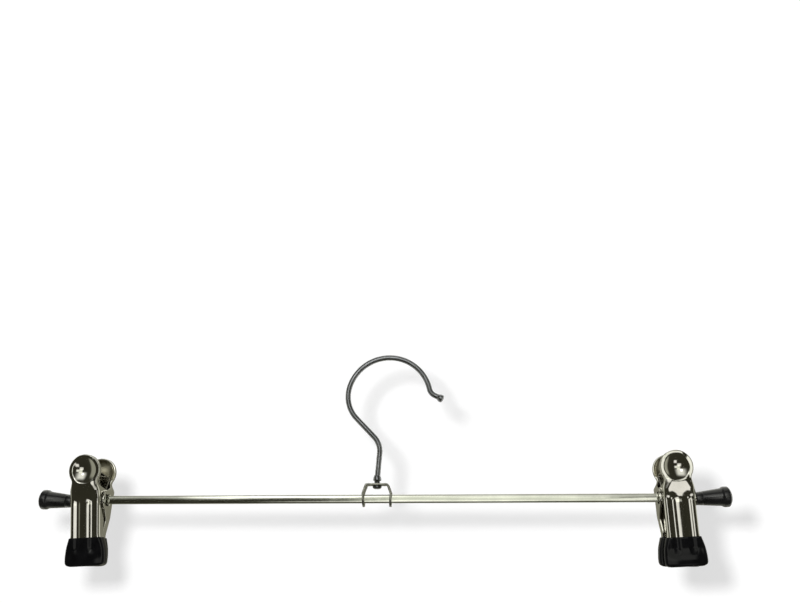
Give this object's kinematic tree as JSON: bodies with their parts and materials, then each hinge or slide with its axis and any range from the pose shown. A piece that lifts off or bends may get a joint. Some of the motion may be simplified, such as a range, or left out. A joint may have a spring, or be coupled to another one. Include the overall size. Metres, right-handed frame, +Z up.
{
  "type": "skirt hanger",
  "caption": "Skirt hanger: bent wire hook turning in a bracket on a flat plated bar, with a sprung pressed-steel clip sliding on each end, rubber grip tips and rubber end caps.",
  "frame": {"origin": "rail seat: the point inside the hook's arc that lies on the swivel axis", "axes": "+Z up, +X along the bar to the right-hand clip, -Y the front; the swivel axis is the Z axis"},
  "size_m": [0.38, 0.0238, 0.1158],
  "materials": {
    "wire": "plated wire, polished",
    "plated_steel": "bright nickel-like plating with a faint warm cast",
    "chrome": "mirror plating on pressed sheet",
    "spring_steel": "plated spring strip",
    "grip_rubber": "glossy dipped rubber",
    "black_rubber": "satin moulded rubber"
  },
  "bodies": {
    "hook": {"hook": "wire"},
    "bar": {"crossbar": "plated_steel", "hook_bracket": "plated_steel", "end_cap_left": "black_rubber", "end_cap_right": "black_rubber"},
    "left_clip": {"left_spring": "spring_steel"},
    "left_front": {"left_front_jaw": "chrome", "left_front_grip": "grip_rubber"},
    "left_rear": {"left_rear_jaw": "chrome", "left_rear_grip": "grip_rubber"},
    "right_clip": {"right_spring": "spring_steel"},
    "right_front": {"right_front_jaw": "chrome", "right_front_grip": "grip_rubber"},
    "right_rear": {"right_rear_jaw": "chrome", "right_rear_grip": "grip_rubber"}
  },
  "joints": [
    {"name": "hook_swivel", "type": "hinge", "parent": "hook", "child": "bar", "pos_m": [0, 0, -0.0689], "axis": [0, 0, 1], "continuous": true},
    {"name": "left_clip_slide", "type": "slide", "parent": "bar", "child": "left_clip", "axis": [1, 0, 0], "range_m": [0, 0.14]},
    {"name": "left_front_hinge", "type": "hinge", "parent": "left_clip", "child": "left_front", "pos_m": [-0.1606, 0, -0.0766], "axis": [-1, 0, 0], "range_deg": [0, 12], "stiffness_Nm_per_rad": 0.5, "springref_deg": -22.92, "deforming": ["left_spring"]},
    {"name": "left_rear_hinge", "type": "hinge", "parent": "left_clip", "child": "left_rear", "pos_m": [-0.1606, 0, -0.0766], "axis": [1, 0, 0], "range_deg": [0, 12], "stiffness_Nm_per_rad": 0.5, "springref_deg": -22.92},
    {"name": "right_clip_slide", "type": "slide", "parent": "bar", "child": "right_clip", "axis": [-1, 0, 0], "range_m": [0, 0.14]},
    {"name": "right_front_hinge", "type": "hinge", "parent": "right_clip", "child": "right_front", "pos_m": [0.1606, 0, -0.0766], "axis": [-1, 0, 0], "range_deg": [0, 12], "stiffness_Nm_per_rad": 0.5, "springref_deg": -22.92, "deforming": ["right_spring"]},
    {"name": "right_rear_hinge", "type": "hinge", "parent": "right_clip", "child": "right_rear", "pos_m": [0.1606, 0, -0.0766], "axis": [1, 0, 0], "range_deg": [0, 12], "stiffness_Nm_per_rad": 0.5, "springref_deg": -22.92}
  ],
  "couplings": [
    {"joint": "left_rear_hinge", "follows": "left_front_hinge", "ratio": 1},
    {"joint": "right_rear_hinge", "follows": "right_front_hinge", "ratio": 1}
  ]
}
